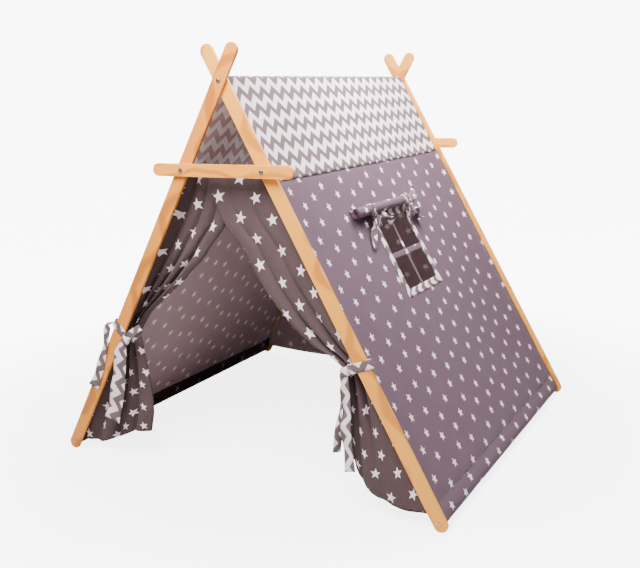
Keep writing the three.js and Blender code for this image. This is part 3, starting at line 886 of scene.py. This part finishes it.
def curtain_ties():
    declare_tie(tie_loop(RIGHT, 0.842, 0.852, 32), RIGHT, 22 * MM)
    declare_tie(tie_loop(LEFT, 0.846, 0.826, 30), LEFT, 22 * MM)

    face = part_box("front_right_leg")[0].y
    declare_tie(knot("right_tie_knot", (0.361, face - 1 * MM, 0.397), (0.25, 0, -1), (1, 0, 0.25),
                     10 * MM, 24 * MM, LEAF[RIGHT]), RIGHT, TIE_CLEAR)
    tail("long_tail", RIGHT,
         [(364, -6, 392), (363, -9, 345), (366, -4, 290), (364, -8, 235), (369, -4, 175),
          (374, -6, 118)],
         [(8, 2, 0), (12, 5, 0), (14, -4, 0), (13, 5, 0), (14, -3, 0), (14, 4, 0)],
         2.5, (0.0, WHITE_MIDDLE), narrow=1.6)
    tail("short_tail", RIGHT,
         [(354, -2, 392), (350, 3, 345), (345, 5, 290), (338, 2, 230), (329, 5, 163)],
         [(7, 4, 0), (9, -8, 0), (8, -10, 0), (9, 7, 0), (8, 9, 0)],
         -2.5, (0.03, GREY_MIDDLE), narrow=1.3)

    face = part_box("front_left_leg")[0].y
    declare_tie(knot("left_tie_knot", (-0.378, face - 1 * MM, 0.399), (-0.3, 0, -1), (1, 0, -0.3),
                     10 * MM, 26 * MM, LEAF[LEFT]), LEFT, TIE_CLEAR)
    tail("wide_tail", LEFT,
         [(-386, -4, 392), (-400, -7, 350), (-412, -3, 290), (-424, -5, 230), (-438, -3, 175),
          (-454, -5, 128)],
         [(12, 0, 2), (21, 3, 4), (25, -3, 5), (25, 3, 5), (26, -2, 6), (27, 2, 7)],
         3.0, (0.0, 0.0))
    tail("outer_tail", LEFT,
         [(-434, -3, 450), (-449, -5, 425), (-462, -3, 370), (-483, -6, 310), (-500, -4, 270),
          (-521, -6, 228)],
         [(6, 0, 10), (10, 1, 6), (11, -3, 3), (13, 2, 4), (15, -2, 5), (17, 2, 8)],
         2.5, (0.02, GREY_MIDDLE), squash_from=None)
    tail("bow_ear", LEFT,
         [(-374, -3, 404), (-352, -8, 420), (-326, -6, 440), (-318, 1, 443), (-334, 4, 424),
          (-366, 3, 398)],
         [(-3, 0, 8), (-6, 2, 11), (-5, 2, 9), (-5, 0, 9), (-6, -2, 11), (-3, 0, 8)],
         1.5, (0.05, GREY_MIDDLE), squash_from=-20 * MM)


# ---- Window ----
CHEVRON = (17 * MM, 0)  # puts the print's points on the middle of a border strip


def on_panel(s, y, lift):
    """A point on the right side cloth's outside, raised by lift."""
    return side_point(RIGHT, s, y) + OUT[RIGHT] * (CLOTH / 2 + lift)


def window_strip(name, start, end, turn_out, width, lift, front, mitre, shift):
    """A flat strip sewn to the side cloth from start to end, each as (y, s).

    turn_out points to its outer edge. mitre is 1 where its ends run out at 45 degrees, or 0.
    """
    (y0, s0), (y1, s1) = start, end
    length = math.hypot(y1 - y0, s1 - s0)
    ahead = ((y1 - y0) / length, (s1 - s0) / length)

    def point(c, r):
        reach = c * length + (mitre * r * width * (2 * c - 1))
        y = y0 + ahead[0] * reach + turn_out[0] * r * width
        s = s0 + ahead[1] * reach + turn_out[1] * r * width
        edge = math.exp(-((min(r, 1 - r) * width / (2.5 * MM)) ** 2))
        puff = 0.7 * MM * (1 - edge) + 0.35 * MM * wrinkle(reach, r * width, 61.0, 0.012)
        return on_panel(s, y, lift + puff)

    columns = stations([0, 1], 5 * MM / length)
    rows = stations([0, 1], 3 * MM / width)
    flipped = ahead[0] * turn_out[1] - ahead[1] * turn_out[0] > 0
    piece = cloth(name, columns, rows, point,
                  lambda c, r: (r * width + shift[0], c * length + shift[1]), front, front,
                  thickness=0.9 * MM, flip=flipped)
    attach(piece, "right_leaf")


def window_trim():
    """The window's border, its rail across and its bar down."""
    (y0, y1), (s0, s1) = WINDOW_Y, WINDOW_S
    for label, start, end, turn_out in (
        ("foot", (y0, s1), (y1, s1), (0, 1)),
        ("head", (y0, s0), (y1, s0), (0, -1)),
        ("front", (y0, s0), (y0, s1), (-1, 0)),
        ("back", (y1, s0), (y1, s1), (1, 0)),
    ):
        window_strip(f"window_border_{label}", start, end, turn_out, BORDER, 0.9 * MM, ZIGZAG, 1,
                     CHEVRON)
    lap = 6 * MM
    rail_s = (s0 + s1) / 2 + 6 * MM - RAIL_WIDTH / 2
    window_strip("window_rail", (y0 - lap, rail_s), (y1 + lap, rail_s), (0, 1), RAIL_WIDTH,
                 -0.4 * MM, SIDE, 0, (0.03, 0.1))
    bar_y = (y0 + y1) / 2 - 4 * MM - BAR_WIDTH / 2
    window_strip("window_bar", (bar_y, s0 - lap), (bar_y, s1 + lap), (1, 0), BAR_WIDTH,
                 -1.6 * MM, SIDE, 0, (0.0, 0.05))


ROLL_LOW, ROLL_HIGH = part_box("window_flap")
ROLL_X = (ROLL_LOW.x + ROLL_HIGH.x) / 2
ROLL_Z = (ROLL_LOW.z + ROLL_HIGH.z) / 2
ROLL_RADIUS = (ROLL_HIGH.z - ROLL_LOW.z) / 2
ROLL_S = ROLL_X * SIN + (RIDGE_Z - ROLL_Z) * COS
ROLL_N = ROLL_X * COS - (RIDGE_Z - ROLL_Z) * SIN
ROLL_FRONT = ROLL_LOW.y + 12 * MM
FRONT_TIE_Y = -0.150
BACK_TIE_Y = 0.108


def window_roll():
    """The flap, rolled up outwards from its foot, with its top still sewn to the side cloth."""
    turns = 3.3
    inner = 5 * MM
    outer = ROLL_RADIUS
    total = turns * 2 * math.pi
    length = (inner + outer) / 2 * total
    lead = 9 * MM
    end_turn = math.radians(-118)  # where the roll meets the side cloth

    def pinch(y):
        tight = sum(math.exp(-(((y - tie) / (13 * MM)) ** 2)) for tie in (FRONT_TIE_Y, BACK_TIE_Y))
        return 1 - 0.17 * min(tight, 1.0)

    def point(c, y):
        if c <= length:
            angle = total * math.sqrt(c / length) if c > 0 else 0.0
            share = angle / total
            radius = mix(inner, outer, share) * pinch(y)
            radius += 0.9 * MM * wrinkle(angle, y, 71.0, 0.06) * share
            turn = end_turn + total - angle
            s = ROLL_S + radius * math.cos(turn)
            n = ROLL_N + radius * math.sin(turn) * 0.94
            return on_leaf(RIGHT, s, n, y + 3 * MM * share * math.sin(angle))
        t = (c - length) / lead
        s_end = ROLL_S + outer * math.cos(end_turn)
        n_end = ROLL_N + outer * math.sin(end_turn) * 0.94
        s_top = s_end - lead
        n_top = sag(s_top) + CLOTH + 0.6 * MM
        return on_leaf(RIGHT, mix(s_end, s_top, t), mix(n_end, n_top, ease(t)), y)

    columns = stations([0, length, length + lead], 3.2 * MM)
    rows = stations([ROLL_FRONT, ROLL_HIGH.y], 7 * MM)
    piece = cloth("window_flap_roll", columns, rows, point, lambda c, y: (y, c + 0.1), SIDE, SIDE,
                  thickness=1.3 * MM)
    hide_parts("window_flap")
    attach(piece, "right_leaf")


def leaf_ribbon(name, points, sides, node, curl=1.5 * MM, shift=(0.0, 0.0)):
    """A ribbon of a window tie. points and half widths are along (s, n, y), in millimetres."""
    spine = [on_leaf(RIGHT, s * MM, n * MM, y * MM) for s, n, y in points]
    half = [(DOWN[RIGHT] * s + OUT[RIGHT] * n + ALONG_Y * y) * MM for s, n, y in sides]
    declare_ribbon(ribbon(name, spine, half, "right_leaf", curl=curl, shift=shift, step=4 * MM),
                   node)


def window_ties():
    s, n = ROLL_S / MM, ROLL_N / MM
    for label, y in (("front", FRONT_TIE_Y), ("back", BACK_TIE_Y)):
        node = f"window_{label}_tie"
        radius = ROLL_RADIUS * 0.83 + 1.6 * MM
        steps = 16
        spine, sides = [], []
        for i in range(steps + 1):
            angle = 2 * math.pi * i / steps
            spine.append(on_leaf(RIGHT, ROLL_S + radius * math.cos(angle),
                                 ROLL_N + radius * 0.96 * math.sin(angle),
                                 y + 1.5 * MM * math.sin(angle)))
            sides.append(ALONG_Y * (9 * MM))
        declare_ribbon(ribbon(f"window_{label}_tie_loop", spine, sides, "right_leaf", curl=1.2 * MM,
                              step=4 * MM), node)
        knot_at = on_leaf(RIGHT, ROLL_S + 20 * MM, ROLL_N + 4 * MM, y)
        declare_ribbon(knot(f"window_{label}_tie_knot", knot_at, ALONG_Y, DOWN[RIGHT], 6.5 * MM,
                            15 * MM, "right_leaf"), node)
    low = s + 22
    node = "window_front_tie"
    leaf_ribbon("window_front_tie_long_tail",
                [(low, n, -152), (low + 26, 14, -170), (low + 55, 2, -192), (low + 98, -6, -212)],
                [(3, 2, 7), (5, -4, 10), (6, 4, 10), (5, -3, 11)], node, shift=(0.01, GREY_MIDDLE))
    leaf_ribbon("window_front_tie_short_tail",
                [(low, n, -146), (low + 18, 16, -142), (low + 40, 6, -136)],
                [(2, 2, 7), (2, -3, 10), (-2, 3, 11)], node, shift=(0.03, GREY_MIDDLE))
    leaf_ribbon("window_front_tie_bow",
                [(low, n, -142), (low + 2, n - 6, -105), (low + 8, 10, -68), (low + 36, 3, -30)],
                [(7, 2, 3), (10, 3, 2), (11, 2, 6), (5, 2, 12)], node, shift=(0.05, 0.004))
    node = "window_back_tie"
    leaf_ribbon("window_back_tie_long_tail",
                [(low, n, 112), (low + 14, 20, 134), (low + 34, 8, 158), (low + 54, -2, 188)],
                [(5, 3, 5), (10, 3, 9), (12, -3, 9), (10, 3, 13)], node, shift=(0.0, 0.004))
    leaf_ribbon("window_back_tie_short_tail",
                [(low, n, 104), (low + 18, 18, 98), (low + 40, 8, 90)],
                [(2, 2, 8), (3, -4, 10), (-2, 3, 12)], node, shift=(0.02, GREY_MIDDLE))
    leaf_ribbon("window_back_tie_bow",
                [(s + 18, n + 6, 112), (s + 2, n + 16, 140), (s - 14, n + 16, 178),
                 (s - 8, n + 4, 196), (s + 8, n, 170), (s + 18, n + 2, 118)],
                [(5, 2, 3), (12, 3, 4), (13, 3, 3), (13, 3, 0), (12, 3, -3), (5, 2, -3)], node,
                shift=(0.04, GREY_MIDDLE))


# ---- Stitching ----
STITCH = 3.0 * MM
STITCH_PITCH = 4.6 * MM


def stitch_row(vertices, faces, at, lift, start, end):
    """Adds one row of stitches along at(t), raised by the vector lift."""
    count = int((end - start) / STITCH_PITCH)
    thick = 0.38 * MM
    for i in range(count):
        t = start + (i + 0.5) * STITCH_PITCH
        a = at(t - STITCH / 2) + lift
        b = at(t + STITCH / 2) + lift
        ahead = (b - a).normalized()
        up = lift.normalized()
        side = ahead.cross(up)
        first = len(vertices)
        vertices.append(a)
        for u, v in ((1, 0), (0, 1), (-1, 0), (0, -1)):
            vertices.append((a + b) / 2 + side * u * thick + up * v * thick)
        vertices.append(b)
        for k in range(4):
            one, two = first + 1 + k, first + 1 + (k + 1) % 4
            faces.append((first, two, one))
            faces.append((first + 5, one, two))


def stitching(side):
    """A side cloth's stitching: its seam, hems and sleeve, and the border round the window."""
    vertices, faces = [], []

    def across_at(s, lift, start, end):
        stitch_row(vertices, faces, lambda y: side_point(side, s, y), lift, start, end)

    def down_at(y, lift, start, end):
        stitch_row(vertices, faces, lambda s: side_point(side, s, y), lift, start, end)

    end = PANEL_HALF_Y - 4 * MM
    inset = PANEL_HALF_Y - 11 * MM
    lift = OUT[side] * (CLOTH / 2 + 0.15 * MM)
    for s in (SEAM_S + 6 * MM, HEM_S, HEM_S + 3 * MM):
        across_at(s, lift, -end, end)
    for y in (-inset, inset):
        down_at(y, lift, SEAM_S + 8 * MM, RAIL_S)
    if side == RIGHT:
        (y0, y1), (s0, s1) = WINDOW_Y, WINDOW_S
        raised = OUT[side] * (CLOTH / 2 + 1.9 * MM)
        for edge in (3 * MM, BORDER - 3 * MM):
            for s in (s0 - edge, s1 + edge):
                across_at(s, raised, y0 - edge, y1 + edge)
            for y in (y0 - edge, y1 + edge):
                down_at(y, raised, s0 - edge, s1 + edge)
    piece = link(f"{WORD[side]}_stitching", vertices, faces, [(v.x, v.z) for v in vertices])
    piece.data.materials.append(THREAD)
    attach(piece, LEAF[side])


# ---- Studio ----
AMBIENT = 0.14  # the strength of the world's light on the tent
BACKDROP = 9.0  # and how bright the world looks
FLOOR_GLOW = 4.6  # the same for the floor near the tent, which rises to the backdrop's
FLOOR_FADE = (0.7, 2.2)
LIGHTS = (  # each with its place, target, size, power and colour
    ("top", (0.40, 0.20, 1.72), (0.22, 0.10, 0.80), 0.8, 50, (1.0, 0.97, 0.98)),
    ("front", (0.10, -1.60, 2.2), (0.0, -0.5, 0.6), 1.1, 118, (1.0, 0.97, 0.95)),
    ("floor_wash", (0.0, 0.8, 4.4), (0.0, 0.2, 0.0), 3.0, 12, (1.0, 1.0, 1.0)),
    ("back", (-1.3, 2.3, 2.0), (-0.2, 0.4, 0.4), 1.0, 45, (1.0, 0.98, 0.97)),
)


def studio():
    """A pale floor and backdrop, and soft lights."""
    bpy.ops.mesh.primitive_plane_add(size=14, location=(0, 0, 0))
    floor = bpy.context.object
    floor.name = "studio_floor"
    material, graph, shader = new_material("studio_floor")
    shader.inputs["Base Color"].default_value = (0.75, 0.75, 0.75, 1)
    shader.inputs["Roughness"].default_value = 0.9
    shader.inputs["Specular IOR Level"].default_value = 0.0
    shader.inputs["Emission Color"].default_value = (1, 1, 1, 1)
    place = graph.node("ShaderNodeTexCoord").outputs["Object"]
    away = graph.vector("LENGTH", place, out="Value")
    seen = graph.node("ShaderNodeLightPath").outputs["Is Camera Ray"]
    glow = graph.times(seen, graph.ramp(away, *FLOOR_FADE, FLOOR_GLOW, BACKDROP))
    graph.feed(shader.inputs["Emission Strength"], glow)
    floor.data.materials.append(material)
    world = bpy.data.worlds.new("studio")
    world.use_nodes = True
    graph = Graph(world.node_tree)
    seen = graph.node("ShaderNodeLightPath").outputs["Is Camera Ray"]
    background = world.node_tree.nodes["Background"]
    background.inputs["Color"].default_value = (1.0, 1.0, 1.0, 1)
    graph.feed(background.inputs["Strength"], graph.ramp(seen, 0.0, 1.0, AMBIENT, BACKDROP))
    bpy.context.scene.world = world
    for light in LIGHTS:
        area_light(*light)


def area_light(name, place, target, size, power, colour):
    light = bpy.data.lights.new(name, "AREA")
    light.size = size
    light.energy = power
    light.color = colour
    lamp = bpy.data.objects.new(name, light)
    lamp.location = place
    lamp.rotation_mode = "QUATERNION"
    lamp.rotation_quaternion = (Vector(target) - Vector(place)).to_track_quat("-Z", "Y")
    bpy.context.scene.collection.objects.link(lamp)


CAMERA_PLACE = Vector((1.36163, -2.59964, 1.12294))
YAW, PITCH, ROLL_TURN = 30.9, 11.64, -1.64  # degrees
SENSOR, LENS = 36, 49.53  # millimetres
LENS_SHIFT = (0.0629, -0.015)


def camera():
    """The camera at the front right, a little below the ridge, as a yaw, a pitch and a roll."""
    yaw, pitch, roll = (math.radians(a) for a in (YAW, PITCH, ROLL_TURN))
    level = math.cos(pitch)
    ahead = Vector((-math.sin(yaw) * level, math.cos(yaw) * level, -math.sin(pitch)))
    right = Vector((math.cos(yaw), math.sin(yaw), 0))
    up = right.cross(ahead)
    turned_right = right * math.cos(roll) + up * math.sin(roll)
    turned_up = up * math.cos(roll) - right * math.sin(roll)
    lens = bpy.data.cameras.new("camera")
    lens.sensor_width = SENSOR
    lens.lens = LENS
    lens.shift_x, lens.shift_y = LENS_SHIFT
    view = bpy.data.objects.new("camera", lens)
    turn = Matrix((turned_right, turned_up, -ahead)).transposed().to_4x4()
    view.matrix_world = Matrix.Translation(CAMERA_PLACE) @ turn
    bpy.context.scene.collection.objects.link(view)
    bpy.context.scene.camera = view


camera()
studio()
dress_cad_nodes()
roof_cloth()
side_cloth(RIGHT)
side_cloth(LEFT)
back_cloth()
curtains()
curtain_ties()
window_trim()
window_roll()
window_ties()
stitching(RIGHT)
stitching(LEFT)
